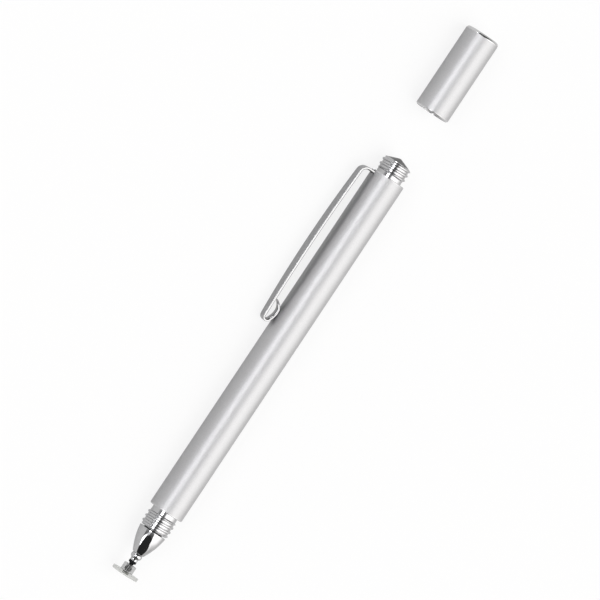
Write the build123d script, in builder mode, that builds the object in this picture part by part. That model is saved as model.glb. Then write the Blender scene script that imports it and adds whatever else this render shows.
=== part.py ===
# Stylus pen: a slim aluminium pen with a clear swivelling disc for its tip, a sprung pocket clip,
# and a screw cap that fits either end and is shown taken off, in line behind the pen.
# The pen lies on its side. The origin is the centre of the disc's touch face, the tip points along +X
# and the rest of the pen runs along -X. The clip leans down on the -Y side until its corner meets the
# surface that the barrel lies on. Sizes are in millimetres.

import os
from math import asin, atan2, ceil, cos, degrees, hypot, radians, sin, sqrt, tan

from build123d import *

# Barrel, a plain drawn tube
barrel_diameter = 9.0
barrel_wall = 1.0
barrel_length = 96.6
barrel_edge = 0.15

# Cap thread, the same on both ends of the pen and inside the cap
thread_pitch = 1.25
thread_crest = 0.2
thread_root = 0.35
thread_flank = 45.0
thread_engagement = 0.18
thread_play = 0.1
thread_embed = 0.06
crest_passage = 0.08

# Touch disc, as large as the cap's thread lets pass, and the hub that stands on it
disc_passage = 0.12
disc_thickness = 0.85
disc_edge = 0.15
hub_wall = 0.72
hub_lip = 0.2
hub_edge = 0.2

# Ball joint between the disc and the pen
ball_diameter = 1.3
liner_wall = 0.22
liner_height = 1.04
socket_play = 0.03
disc_tilt = 20.0
tilt_spare = 5.2
contact_diameter = 1.6
contact_thickness = 0.6

# Ball stud
stud_neck_diameter = 0.72
stud_neck_rise = 0.25
stud_waist_diameter = 1.2
stud_waist_length = 0.12
stud_cone_length = 0.16
stud_flange_diameter = 1.96
stud_flange_length = 0.55
stud_shank_diameter = 1.1
stud_shank_length = 3.0

# Tip holder, which pushes into the nose
holder_end_diameter = 1.84
holder_stem_diameter = 2.02
holder_stem_length = 0.6
holder_flare_length = 0.95
holder_flare_diameter = 2.36
holder_bead_diameter = 2.88
holder_bead_length = 0.5
holder_shank_diameter = 2.0
holder_shank_length = 4.0

# Rubber ring that grips the tip holder inside the nose
grip_ring_section = 0.6
grip_ring_sink = 0.18
grip_ring_depth = 2.0
grip_groove_play = 0.05

# Nose cone
nose_end_diameter = 3.14
nose_bulge = 0.325
nose_lip = 0.13
nose_length = 6.77
nose_edge = 0.08
nose_bore_spare = 0.4
nose_spigot_length = 4.4

# Front collar and rear plug, both screwed into brass bushes in the barrel
collar_thread_length = 4.2
collar_wall = 0.92
collar_neck_length = 1.06
collar_tail_wall = 1.4
collar_tail_length = 6.6
plug_neck_length = 0.9
plug_thread_length = 3.34
plug_cone_height = 1.2
plug_cone_tip = 0.5
plug_tail_length = 6.0
bush_wall = 0.55
bush_length = 7.0
bush_recess = 0.6

# Clip, one strip of spring steel with a ring at its root
clip_thickness = 0.65
clip_reach = 44.6
clip_bow = 0.4
clip_standoff = 3.2
clip_middle_width = 3.8
clip_root_width = 3.0
clip_end_width = 2.8
clip_bend_radius = 1.3
clip_nose_radius = 1.3
clip_recess = 0.45
clip_split_gap = 0.04
clip_split_reach = 0.5
clip_foot_length = 5.1
clip_foot_apex = 3.4
clip_foot_width = 2.5
clip_foot_edge = 0.45
clip_foot_gap = 0.05
clip_ring_band = 0.78
clip_ring_play = 0.2
notch_play = 0.12

# Cap, as deep as the pen's tip is long
cap_wall = 0.62
cap_end_wall = 1.2
cap_tip_spare = 1.07
cap_top_radius = 0.8
cap_mouth_edge = 0.2
cap_standoff = 18.75
cap_thread_inset = 0.5
cap_thread_length = 2.2
cap_pad_thickness = 2.4
cap_pad_play = 0.15

# Fits
seat_play = 0.02
screw_play = 0.03
neck_play = 0.09

# Radii, worked inwards from the barrel's outside, which the cap's outside matches
barrel_radius = barrel_diameter / 2
bore_radius = barrel_radius - barrel_wall
bush_radius = bore_radius - seat_play
neck_radius = bore_radius - neck_play
cap_bore_radius = barrel_radius - cap_wall
crest_radius = cap_bore_radius - crest_passage
cap_crest_radius = crest_radius - thread_engagement
disc_radius = cap_crest_radius - disc_passage
flank_slope = tan(radians(thread_flank))
thread_depth = (thread_pitch - thread_crest - thread_root) / 2 / flank_slope
root_radius = crest_radius - thread_depth
collar_tail_radius = bush_radius - bush_wall - screw_play
clip_ring_inner_radius = bush_radius - clip_ring_band
plug_tail_radius = clip_ring_inner_radius - clip_ring_play
spigot_radius = root_radius - collar_wall - screw_play
nose_base_radius = root_radius + nose_lip
liner_radius = ball_diameter / 2 + socket_play + liner_wall
socket_radius = liner_radius + socket_play
hub_radius = socket_radius + hub_wall
quarter_middle = sqrt(0.5)

# Stations along the pen, measured back from the touch face
disc_top = disc_thickness
hub_top = disc_top + 2 * liner_radius + hub_lip
ball_center = disc_top + liner_radius
stud_neck_top = hub_top + stud_neck_rise
stud_cone_start = stud_neck_top + stud_waist_length
stud_flange_start = stud_cone_start + stud_cone_length
holder_end = stud_flange_start + stud_flange_length
nose_end = holder_end + holder_stem_length + holder_flare_length + holder_bead_length
nose_base = nose_end + nose_length
collar_thread_top = nose_base + collar_thread_length
barrel_front = collar_thread_top + collar_neck_length
barrel_rear = barrel_front + barrel_length
plug_thread_start = barrel_rear + plug_neck_length
plug_thread_top = plug_thread_start + plug_thread_length
plug_tip = plug_thread_top + plug_cone_height
clip_ring_rear = barrel_rear - clip_recess
clip_ring_front = clip_ring_rear - clip_thickness
cap_mouth = barrel_rear + cap_standoff
cap_pad_front = cap_mouth + barrel_front + cap_tip_spare
cap_floor = cap_pad_front + cap_pad_thickness + seat_play
cap_top = cap_floor + cap_end_wall

# Clip stations and heights over the pen's axis
clip_tip = clip_ring_rear - clip_reach
clip_middle = (clip_tip + clip_ring_rear) / 2
clip_outer_end = barrel_radius + clip_standoff
clip_outer_middle = clip_outer_end + clip_bow
clip_split = barrel_radius + clip_split_reach

# The clip hangs at the angle where its outer corner reaches as low as the barrel does
clip_corner = hypot(clip_outer_middle, clip_middle_width / 2)
clip_lean = asin(barrel_radius / clip_corner) - atan2(clip_middle_width / 2, clip_outer_middle)

# Planes: the first number of a point is its station along the pen, the second its height off the axis
pen_direction = (-1, 0, 0)
pen_plane = Plane(origin=(0, 0, 0), x_dir=pen_direction, z_dir=(0, 1, 0))
pen_axis = Axis((0, 0, 0), pen_direction)
clip_plane = Plane(origin=(0, 0, 0), x_dir=pen_direction, z_dir=(0, -sin(clip_lean), cos(clip_lean)))
clip_top_plane = Plane(origin=(0, 0, 0), x_dir=pen_direction, z_dir=clip_plane.y_dir)


def ridge_width(wall_radius, top_radius, top_width):
    """Width of a thread ridge where it sinks into the wall that carries it."""
    return top_width + 2 * (abs(top_radius - wall_radius) + thread_embed) * flank_slope


def thread_ridge(start, length, wall_radius, top_radius, top_width):
    """A blunt-ended helical ridge on the cap thread's pitch, sunk a little into its wall."""
    sunk = wall_radius - thread_embed if wall_radius < top_radius else wall_radius + thread_embed
    base_width = ridge_width(wall_radius, top_radius, top_width)
    with BuildPart() as ridge:
        with BuildLine() as path:
            Helix(thread_pitch, length, sunk, (-start, 0, 0), pen_direction)
        foot = path.line @ 0
        section = Plane(origin=foot, x_dir=(0, foot.Y, foot.Z), z_dir=path.line % 0)
        with BuildSketch(section):
            with BuildLine():
                Polyline(
                    (0, -base_width / 2),
                    (top_radius - sunk, -top_width / 2),
                    (top_radius - sunk, top_width / 2),
                    (0, base_width / 2),
                    close=True,
                )
            make_face()
        sweep(path=path.line, is_frenet=True)
    return ridge.part


# The male thread's ridge keeps half its width clear of both ends of its stretch
male_ridge_inset = ridge_width(root_radius, crest_radius, thread_crest) / 2 + seat_play


def male_ridge(start, top):
    """The ridge of a male cap thread on the stretch from start to top."""
    length = top - start - 2 * male_ridge_inset
    return thread_ridge(start + male_ridge_inset, length, root_radius, crest_radius, thread_crest)


# Touch disc: a thin clear disc with a recess for the contact under the ball
with BuildPart() as touch_disc:
    with BuildSketch(pen_plane):
        with BuildLine():
            Polyline(
                (0, 0),
                (0, disc_radius),
                (disc_top, disc_radius),
                (disc_top, contact_diameter / 2 + seat_play),
                (disc_top - contact_thickness - seat_play, contact_diameter / 2 + seat_play),
                (disc_top - contact_thickness - seat_play, 0),
                close=True,
            )
        make_face()
    revolve(axis=pen_axis)
    fillet(touch_disc.edges().filter_by(GeomType.CIRCLE).group_by(SortBy.RADIUS)[-1], disc_edge)

# Contact: a small conductive pad set flush into the disc under the ball
with BuildPart() as contact_pad:
    with BuildSketch(pen_plane):
        with BuildLine():
            Polyline(
                (disc_top - contact_thickness, 0),
                (disc_top - contact_thickness, contact_diameter / 2),
                (disc_top, contact_diameter / 2),
                (disc_top, 0),
                close=True,
            )
        make_face()
    revolve(axis=pen_axis)

# Hub: a clear post on the disc with a round socket whose mouth flares for the tilt
socket_floor_radius = sqrt(socket_radius**2 - liner_radius**2)
mouth_angle = asin(stud_neck_diameter / 2 / socket_radius) + radians(disc_tilt + tilt_spare)
mouth_start = ball_center + socket_radius * cos(mouth_angle)
mouth_start_radius = socket_radius * sin(mouth_angle)
with BuildPart() as disc_hub:
    with BuildSketch(pen_plane):
        with BuildLine():
            ThreePointArc(
                (disc_top, socket_floor_radius),
                (ball_center, socket_radius),
                (mouth_start, mouth_start_radius),
            )
            Polyline(
                (mouth_start, mouth_start_radius),
                (hub_top, (hub_top - ball_center) * tan(mouth_angle)),
                (hub_top, hub_radius),
                (disc_top, hub_radius),
                (disc_top, socket_floor_radius),
            )
        make_face()
    revolve(axis=pen_axis)
    rim = disc_hub.edges().filter_by(GeomType.CIRCLE).group_by(SortBy.RADIUS)[-1]
    fillet(rim.sort_by(Axis.X)[0], hub_edge)

# Socket liner: a split bearing ring that snaps over the ball and turns in the hub's socket
seat_radius = ball_diameter / 2 + socket_play
liner_outer = sqrt(liner_radius**2 - (liner_height / 2) ** 2)
liner_inner = sqrt(seat_radius**2 - (liner_height / 2) ** 2)
liner_low = ball_center - liner_height / 2
liner_high = ball_center + liner_height / 2
with BuildPart() as socket_liner:
    with BuildSketch(pen_plane):
        with BuildLine():
            ThreePointArc(
                (liner_low, liner_outer),
                (ball_center, liner_radius),
                (liner_high, liner_outer),
            )
            Line((liner_high, liner_outer), (liner_high, liner_inner))
            ThreePointArc(
                (liner_high, liner_inner),
                (ball_center, seat_radius),
                (liner_low, liner_inner),
            )
            Line((liner_low, liner_inner), (liner_low, liner_outer))
        make_face()
    revolve(axis=pen_axis)

# Ball stud: ball, neck, waist and flange turned in one, with a shank pressed into the tip holder.
# The neck is straight inside the socket and widens to the waist from where it leaves it.
ball_radius = ball_diameter / 2
stud_neck_start = ball_center + sqrt(ball_radius**2 - (stud_neck_diameter / 2) ** 2)
stud_neck_end = ball_center + sqrt(socket_radius**2 - (stud_neck_diameter / 2) ** 2)
stud_shank_end = holder_end + stud_shank_length
with BuildPart() as ball_stud:
    with BuildSketch(pen_plane):
        with BuildLine():
            ThreePointArc(
                (ball_center - ball_radius, 0),
                (ball_center, ball_radius),
                (stud_neck_start, stud_neck_diameter / 2),
            )
            Polyline(
                (stud_neck_start, stud_neck_diameter / 2),
                (stud_neck_end, stud_neck_diameter / 2),
                (stud_neck_top, stud_waist_diameter / 2),
                (stud_cone_start, stud_waist_diameter / 2),
                (stud_flange_start, stud_flange_diameter / 2),
                (holder_end, stud_flange_diameter / 2),
                (holder_end, stud_shank_diameter / 2),
                (stud_shank_end, stud_shank_diameter / 2),
                (stud_shank_end, 0),
                (ball_center - ball_radius, 0),
            )
        make_face()
    revolve(axis=pen_axis)

# Tip holder: a turned ferrule with a bead against the nose and a grooved shank inside it
holder_stem_top = holder_end + holder_stem_length
holder_bead_start = nose_end - holder_bead_length
holder_shank_end = nose_end + holder_shank_length
grip_ring_center = nose_end + grip_ring_depth
grip_groove_half = grip_ring_section / 2 + grip_groove_play
grip_ring_inner_radius = holder_shank_diameter / 2 - grip_ring_sink
grip_ring_middle_radius = grip_ring_inner_radius + grip_ring_section / 2
grip_groove_floor = grip_ring_inner_radius - seat_play
with BuildPart() as tip_holder:
    with BuildSketch(pen_plane):
        with BuildLine():
            Line((holder_end, holder_end_diameter / 2), (holder_stem_top, holder_stem_diameter / 2))
            ThreePointArc(
                (holder_stem_top, holder_stem_diameter / 2),
                ((holder_stem_top + holder_bead_start) / 2, holder_flare_diameter / 2),
                (holder_bead_start, holder_bead_diameter / 2),
            )
            Polyline(
                (holder_bead_start, holder_bead_diameter / 2),
                (nose_end, holder_bead_diameter / 2),
                (nose_end, holder_shank_diameter / 2),
                (grip_ring_center - grip_groove_half, holder_shank_diameter / 2),
                (grip_ring_center - grip_groove_half, grip_groove_floor),
                (grip_ring_center + grip_groove_half, grip_groove_floor),
                (grip_ring_center + grip_groove_half, holder_shank_diameter / 2),
                (holder_shank_end, holder_shank_diameter / 2),
                (holder_shank_end, 0),
                (stud_shank_end + seat_play, 0),
                (stud_shank_end + seat_play, stud_shank_diameter / 2 + seat_play),
                (holder_end, stud_shank_diameter / 2 + seat_play),
                (holder_end, holder_end_diameter / 2),
            )
        make_face()
    revolve(axis=pen_axis)

# Grip ring: a rubber ring in the nose that holds the pushed-in tip holder
with BuildPart() as grip_ring:
    with BuildSketch(pen_plane):
        with Locations((grip_ring_center, grip_ring_middle_radius)):
            Circle(grip_ring_section / 2)
    revolve(axis=pen_axis)

# Nose cone: a bullet-shaped shell, bored for the tip holder, with a spigot into the collar
nose_bore_radius = holder_shank_diameter / 2 + screw_play
nose_bore_end = holder_shank_end + nose_bore_spare
nose_groove_radius = grip_ring_middle_radius + grip_groove_half
nose_middle_radius = (nose_end_diameter / 2 + nose_base_radius) / 2 + nose_bulge
with BuildPart() as nose_cone:
    with BuildSketch(pen_plane):
        with BuildLine():
            ThreePointArc(
                (nose_end, nose_end_diameter / 2),
                ((nose_end + nose_base) / 2, nose_middle_radius),
                (nose_base - nose_edge, nose_base_radius),
            )
            Polyline(
                (nose_base - nose_edge, nose_base_radius),
                (nose_base, nose_base_radius - nose_edge),
                (nose_base, spigot_radius),
                (nose_base + nose_spigot_length, spigot_radius),
                (nose_base + nose_spigot_length, 0),
                (nose_bore_end, 0),
                (nose_bore_end, nose_bore_radius),
                (grip_ring_center + grip_groove_half, nose_bore_radius),
                (grip_ring_center + grip_groove_half, nose_groove_radius),
                (grip_ring_center - grip_groove_half, nose_groove_radius),
                (grip_ring_center - grip_groove_half, nose_bore_radius),
                (nose_end, nose_bore_radius),
                (nose_end, nose_end_diameter / 2),
            )
        make_face()
    revolve(axis=pen_axis)

# Front collar: the male cap thread, a plain neck, and a tail screwed into the front bush
front_bush_face = barrel_front + bush_recess
collar_tail_end = front_bush_face + collar_tail_length
collar_bore_end = nose_base + nose_spigot_length + nose_bore_spare
with BuildPart() as front_collar:
    with BuildSketch(pen_plane):
        with BuildLine():
            Polyline(
                (nose_base, spigot_radius + screw_play),
                (nose_base, root_radius),
                (collar_thread_top, root_radius),
                (collar_thread_top, neck_radius),
                (front_bush_face, neck_radius),
                (front_bush_face, collar_tail_radius),
                (collar_tail_end, collar_tail_radius),
                (collar_tail_end, collar_tail_radius - collar_tail_wall),
                (collar_bore_end, collar_tail_radius - collar_tail_wall),
                (collar_bore_end, spigot_radius + screw_play),
                close=True,
            )
        make_face()
    revolve(axis=pen_axis)
    add(male_ridge(nose_base, collar_thread_top))

# Front bush: a brass sleeve pressed into the barrel for the collar's tail
with BuildPart() as front_bush:
    with BuildSketch(pen_plane):
        with BuildLine():
            Polyline(
                (front_bush_face, collar_tail_radius + screw_play),
                (front_bush_face, bush_radius),
                (front_bush_face + bush_length, bush_radius),
                (front_bush_face + bush_length, collar_tail_radius + screw_play),
                close=True,
            )
        make_face()
    revolve(axis=pen_axis)

# Barrel: the tube, its ends broken by a small bevel, with a notch in the rear rim for the clip
with BuildPart() as barrel:
    with BuildSketch(pen_plane):
        with BuildLine():
            Polyline(
                (barrel_front, bore_radius),
                (barrel_front, barrel_radius - barrel_edge),
                (barrel_front + barrel_edge, barrel_radius),
                (barrel_rear - barrel_edge, barrel_radius),
                (barrel_rear, barrel_radius - barrel_edge),
                (barrel_rear, bore_radius),
                close=True,
            )
        make_face()
    revolve(axis=pen_axis)
    with BuildSketch(clip_plane):
        with BuildLine():
            Polyline(
                (clip_ring_front - notch_play, 0),
                (clip_ring_front - notch_play, barrel_diameter),
                (barrel_rear, barrel_diameter),
                (barrel_rear, 0),
                close=True,
            )
        make_face()
    extrude(amount=clip_root_width / 2 + notch_play, both=True, mode=Mode.SUBTRACT)

# Rear bush: a brass sleeve pressed into the barrel under the clip's ring
with BuildPart() as rear_bush:
    with BuildSketch(pen_plane):
        with BuildLine():
            Polyline(
                (clip_ring_front - bush_length, plug_tail_radius + screw_play),
                (clip_ring_front - bush_length, bush_radius),
                (clip_ring_front, bush_radius),
                (clip_ring_front, plug_tail_radius + screw_play),
                close=True,
            )
        make_face()
    revolve(axis=pen_axis)

# Clip ring: the root of the clip's strip, clamped between the rear bush and the plug
with BuildPart() as clip_ring:
    with BuildSketch(clip_plane):
        with BuildLine():
            Polyline(
                (clip_ring_front, 0),
                (clip_ring_front, clip_split),
                (clip_ring_rear, clip_split),
                (clip_ring_rear, 0),
                close=True,
            )
        make_face()
    extrude(amount=clip_root_width / 2, both=True)
    with BuildSketch(pen_plane):
        with BuildLine():
            Polyline(
                (clip_ring_front, 0),
                (clip_ring_front, bush_radius),
                (clip_ring_rear, bush_radius),
                (clip_ring_rear, 0),
                close=True,
            )
        make_face()
    revolve(axis=pen_axis)
    with BuildSketch(pen_plane):
        with BuildLine():
            Polyline(
                (clip_ring_front, 0),
                (clip_ring_front, clip_ring_inner_radius),
                (clip_ring_rear, clip_ring_inner_radius),
                (clip_ring_rear, 0),
                close=True,
            )
        make_face()
    revolve(axis=pen_axis, mode=Mode.SUBTRACT)

# Clip arm: the rest of the strip, bent over and bowed outwards, with a round foot against the barrel
clip_inner_end = clip_outer_end - clip_thickness
clip_inner_middle = clip_outer_middle - clip_thickness
clip_inner_bend = (clip_bend_radius - clip_thickness) * quarter_middle
clip_outer_bend = clip_bend_radius * quarter_middle
clip_bend_front = clip_ring_rear - clip_bend_radius
clip_bend_center = clip_outer_end - clip_bend_radius
clip_root = clip_split + clip_split_gap
clip_foot_middle = clip_tip + clip_foot_apex
clip_foot_root = clip_outer_end - clip_thickness / 2
clip_foot_height = barrel_radius + clip_foot_gap
clip_nose_center = clip_outer_end - clip_nose_radius
clip_nose_start = clip_tip + clip_nose_radius
clip_nose_bend = clip_nose_radius * quarter_middle
with BuildPart() as clip_arm:
    with BuildSketch(clip_plane):
        with BuildLine():
            ThreePointArc(
                (clip_foot_middle - clip_foot_length / 2, clip_foot_root),
                (clip_foot_middle, clip_foot_height),
                (clip_foot_middle + clip_foot_length / 2, clip_foot_root),
            )
            Line(
                (clip_foot_middle + clip_foot_length / 2, clip_foot_root),
                (clip_foot_middle - clip_foot_length / 2, clip_foot_root),
            )
        make_face()
    extrude(amount=clip_foot_width / 2, both=True)
    foot_rim = clip_arm.edges().filter_by(GeomType.CIRCLE)
    fillet(foot_rim, clip_foot_edge)
    with BuildSketch(clip_plane):
        with BuildLine():
            Line((clip_ring_rear, clip_root), (clip_ring_rear, clip_bend_center))
            ThreePointArc(
                (clip_ring_rear, clip_bend_center),
                (clip_bend_front + clip_outer_bend, clip_bend_center + clip_outer_bend),
                (clip_bend_front, clip_outer_end),
            )
            ThreePointArc(
                (clip_bend_front, clip_outer_end),
                (clip_middle, clip_outer_middle),
                (clip_nose_start, clip_outer_end),
            )
            ThreePointArc(
                (clip_nose_start, clip_outer_end),
                (clip_nose_start - clip_nose_bend, clip_nose_center + clip_nose_bend),
                (clip_tip, clip_nose_center),
            )
            Polyline(
                (clip_tip, clip_nose_center),
                (clip_foot_middle, clip_nose_center),
                (clip_foot_middle, clip_inner_end),
            )
            ThreePointArc(
                (clip_foot_middle, clip_inner_end),
                (clip_middle, clip_inner_middle),
                (clip_bend_front, clip_inner_end),
            )
            ThreePointArc(
                (clip_bend_front, clip_inner_end),
                (clip_bend_front + clip_inner_bend, clip_bend_center + clip_inner_bend),
                (clip_ring_front, clip_bend_center),
            )
            Polyline(
                (clip_ring_front, clip_bend_center),
                (clip_ring_front, clip_root),
                (clip_ring_rear, clip_root),
            )
        make_face()
    extrude(amount=clip_middle_width / 2, both=True)
    with BuildSketch(clip_top_plane):
        with BuildLine():
            ThreePointArc(
                (clip_ring_rear, clip_root_width / 2),
                (clip_middle, clip_middle_width / 2),
                (clip_tip + clip_end_width / 2, clip_end_width / 2),
            )
            ThreePointArc(
                (clip_tip + clip_end_width / 2, clip_end_width / 2),
                (clip_tip, 0),
                (clip_tip + clip_end_width / 2, -clip_end_width / 2),
            )
            ThreePointArc(
                (clip_tip + clip_end_width / 2, -clip_end_width / 2),
                (clip_middle, -clip_middle_width / 2),
                (clip_ring_rear, -clip_root_width / 2),
            )
            Line((clip_ring_rear, -clip_root_width / 2), (clip_ring_rear, clip_root_width / 2))
        make_face()
    extrude(amount=2 * clip_outer_middle, mode=Mode.INTERSECT)

# Rear plug: a tail through the clip ring into the rear bush, a neck, the cap thread and a cone end
plug_tail_start = clip_ring_rear - plug_tail_length
with BuildPart() as rear_plug:
    with BuildSketch(pen_plane):
        with BuildLine():
            Polyline(
                (plug_tail_start, 0),
                (plug_tail_start, plug_tail_radius),
                (clip_ring_rear, plug_tail_radius),
                (clip_ring_rear, neck_radius),
                (plug_thread_start, neck_radius),
                (plug_thread_start, root_radius),
                (plug_thread_top, root_radius),
                (plug_tip, plug_cone_tip / 2),
                (plug_tip, 0),
                close=True,
            )
        make_face()
    revolve(axis=pen_axis)
    add(male_ridge(plug_thread_start, plug_thread_top))

# Cap shell: a closed aluminium tube with the female cap thread just inside its mouth
# The thread lies on the same helix as the rear plug's grooves, so that it meets them as it turns on
groove_middle = (thread_pitch - thread_crest) / 2
cap_crest_width = 2 * (groove_middle - thread_engagement * flank_slope - thread_play)
cap_ridge_inset = cap_thread_inset + ridge_width(cap_bore_radius, cap_crest_radius, cap_crest_width) / 2
plug_groove_start = plug_thread_start + male_ridge_inset + thread_pitch / 2
cap_turns_back = ceil((cap_mouth + cap_ridge_inset - plug_groove_start) / thread_pitch)
cap_ridge_start = plug_groove_start + cap_turns_back * thread_pitch
cap_top_start = cap_top - cap_top_radius
cap_top_center = barrel_radius - cap_top_radius
cap_top_bend = cap_top_radius * quarter_middle
with BuildPart() as cap_shell:
    with BuildSketch(pen_plane):
        with BuildLine():
            Polyline(
                (cap_mouth, cap_bore_radius),
                (cap_mouth, barrel_radius - cap_mouth_edge),
                (cap_mouth + cap_mouth_edge, barrel_radius),
                (cap_top_start, barrel_radius),
            )
            ThreePointArc(
                (cap_top_start, barrel_radius),
                (cap_top_start + cap_top_bend, cap_top_center + cap_top_bend),
                (cap_top, cap_top_center),
            )
            Polyline(
                (cap_top, cap_top_center),
                (cap_top, 0),
                (cap_floor, 0),
                (cap_floor, cap_bore_radius),
                (cap_mouth, cap_bore_radius),
            )
        make_face()
    revolve(axis=pen_axis)
    add(
        thread_ridge(
            cap_ridge_start, cap_thread_length, cap_bore_radius, cap_crest_radius, cap_crest_width
        )
    )

# Cap pad: a soft plug in the cap's closed end, short of the disc when the cap is on the tip
cap_pad_radius = cap_bore_radius - cap_pad_play
cap_pad_rear = cap_pad_front + cap_pad_thickness
with BuildPart() as cap_pad:
    with BuildSketch(pen_plane):
        with BuildLine():
            Polyline(
                (cap_pad_front, 0),
                (cap_pad_front, cap_pad_radius),
                (cap_pad_rear, cap_pad_radius),
                (cap_pad_rear, 0),
                close=True,
            )
        make_face()
    revolve(axis=pen_axis)

os.makedirs("parts", exist_ok=True)
pieces = {
    "touch_disc": touch_disc,
    "contact_pad": contact_pad,
    "disc_hub": disc_hub,
    "socket_liner": socket_liner,
    "ball_stud": ball_stud,
    "tip_holder": tip_holder,
    "grip_ring": grip_ring,
    "nose_cone": nose_cone,
    "front_collar": front_collar,
    "front_bush": front_bush,
    "barrel": barrel,
    "rear_bush": rear_bush,
    "clip_ring": clip_ring,
    "clip_arm": clip_arm,
    "rear_plug": rear_plug,
    "cap_shell": cap_shell,
    "cap_pad": cap_pad,
}
for label, piece in pieces.items():
    piece.part.label = label
    export_step(piece.part, f"parts/{label}.step")

print("clip leans", round(degrees(clip_lean), 3), "degrees below level")
print("ball centre", round(ball_center, 4), "cap mouth", round(cap_mouth, 4))
print("clip hinge", round(clip_ring_rear, 4), "back and", round(clip_split, 4), "out")
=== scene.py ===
# Stylus pen lying on a pale table with its screw cap taken off, in line behind it.
# The pen's axis is X with the touch disc at the origin, so a place along the pen is a negative x.
# Sizes are in metres. The file follows the pen as it is put together, from the barrel outwards.

from math import asin, atan2, ceil, cos, hypot, pi, radians, sin, sqrt, tan, tau

import bmesh
import bpy
from mathutils import Matrix, Vector


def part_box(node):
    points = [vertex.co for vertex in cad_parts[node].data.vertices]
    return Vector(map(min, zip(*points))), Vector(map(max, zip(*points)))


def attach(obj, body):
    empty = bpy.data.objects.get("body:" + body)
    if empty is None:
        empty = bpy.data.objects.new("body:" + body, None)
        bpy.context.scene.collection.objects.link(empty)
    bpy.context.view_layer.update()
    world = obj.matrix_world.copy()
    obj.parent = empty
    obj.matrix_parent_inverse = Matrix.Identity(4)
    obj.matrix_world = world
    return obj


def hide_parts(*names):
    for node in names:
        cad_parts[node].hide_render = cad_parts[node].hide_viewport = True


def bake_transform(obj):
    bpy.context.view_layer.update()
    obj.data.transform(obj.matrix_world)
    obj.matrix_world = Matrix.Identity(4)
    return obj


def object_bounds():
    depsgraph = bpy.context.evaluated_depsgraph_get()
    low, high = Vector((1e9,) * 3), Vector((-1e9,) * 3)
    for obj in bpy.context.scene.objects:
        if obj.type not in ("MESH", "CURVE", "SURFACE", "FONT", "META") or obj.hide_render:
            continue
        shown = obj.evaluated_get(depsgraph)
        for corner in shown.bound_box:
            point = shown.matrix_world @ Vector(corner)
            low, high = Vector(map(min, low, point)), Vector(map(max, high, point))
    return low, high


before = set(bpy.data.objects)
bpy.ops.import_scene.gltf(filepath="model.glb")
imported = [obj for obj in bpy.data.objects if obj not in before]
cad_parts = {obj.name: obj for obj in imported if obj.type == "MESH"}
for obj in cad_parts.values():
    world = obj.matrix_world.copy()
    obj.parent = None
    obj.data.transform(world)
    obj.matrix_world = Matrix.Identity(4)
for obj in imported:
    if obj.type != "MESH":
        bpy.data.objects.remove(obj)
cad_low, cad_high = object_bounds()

# Barrel: a drawn aluminium tube with its ends broken by a fine bevel, blasted satin and clear anodised.
# Its rear rim has a notch, sawn for the clip's strip to pass through. The pen lies on the barrel and on
# the strip's lower edge, which sets how far the clip leans down.
mm = 0.001
barrel_low, barrel_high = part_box("barrel")
barrel_front, barrel_rear = barrel_high.x, barrel_low.x
barrel_radius = barrel_high.z
barrel_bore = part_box("front_bush")[1].z
barrel_bevel = 0.15 * mm
rim_fade = 0.12 * mm
fine_edge = 0.05 * mm
merge_distance = 0.0005 * mm
axis_tolerance = 0.0001 * mm
sharp_angle = radians(38)
clip_ring_low, clip_ring_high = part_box("clip_ring")
clip_width = 3.8 * mm
clip_root_width = 3.0 * mm
clip_crown = 8.1 * mm
clip_lean = asin(barrel_radius / hypot(clip_crown, clip_width / 2)) - atan2(clip_width / 2, clip_crown)
clip_out = Vector((0, -cos(clip_lean), -sin(clip_lean)))
clip_side = Vector((0, -sin(clip_lean), cos(clip_lean)))
notch_play = 0.12 * mm
notch_front = clip_ring_high.x + notch_play
notch_length = 2 * (notch_front - barrel_rear)
notch_width = clip_root_width + 2 * notch_play
satin_shades = (0.47, 0.47, 0.475, 1), (0.67, 0.67, 0.675, 1)
satin_roughness = 0.51
cut_shade = (0.72, 0.72, 0.725, 1)
cut_polish = 0.3
turning_marks = (7000, 45, 45)
blast_grain = 4500
anodic_cloud = 260


def rounded(outline, closed=False, steps=6, hold=1.8):
    """Rounds the corners of an outline of (x, radius, corner radius) points. The flat beside a corner gets a
    point at hold times the corner's reach, which keeps its shading flat."""
    points = []
    count = len(outline)
    for i, (x, radius, corner) in enumerate(outline):
        here = Vector((x, radius))
        if corner == 0 or (not closed and i in (0, count - 1)):
            points.append(here)
            continue
        before = Vector(outline[i - 1][:2]) - here
        after = Vector(outline[(i + 1) % count][:2]) - here
        half = before.angle(after) / 2
        reach = corner / tan(half)
        center = here + (before.normalized() + after.normalized()).normalized() * corner / sin(half)
        start = here + before.normalized() * reach - center
        end = here + after.normalized() * reach - center
        points.append(here + before.normalized() * min(hold * reach, before.length / 2))
        points += [center + corner * start.slerp(end, k / steps) for k in range(steps + 1)]
        points.append(here + after.normalized() * min(hold * reach, after.length / 2))
    return points


def turned(points, closed=False, segments=160):
    """A bmesh turned about the pen's axis from outline points; a point on the axis closes an end."""
    shape = bmesh.new()
    turns = [tau * k / segments for k in range(segments)]
    rings = []
    for x, radius in points:
        if radius < axis_tolerance:
            rings.append([shape.verts.new((x, 0, 0))] * segments)
        else:
            rings.append([shape.verts.new((x, radius * cos(a), radius * sin(a))) for a in turns])
    pairs = list(zip(rings, rings[1:])) + ([(rings[-1], rings[0])] if closed else [])
    for near, far in pairs:
        for k in range(segments):
            n = (k + 1) % segments
            corners = list(dict.fromkeys((near[k], near[n], far[n], far[k])))
            if len(corners) > 2:
                shape.faces.new(corners)
    return shape


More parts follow.
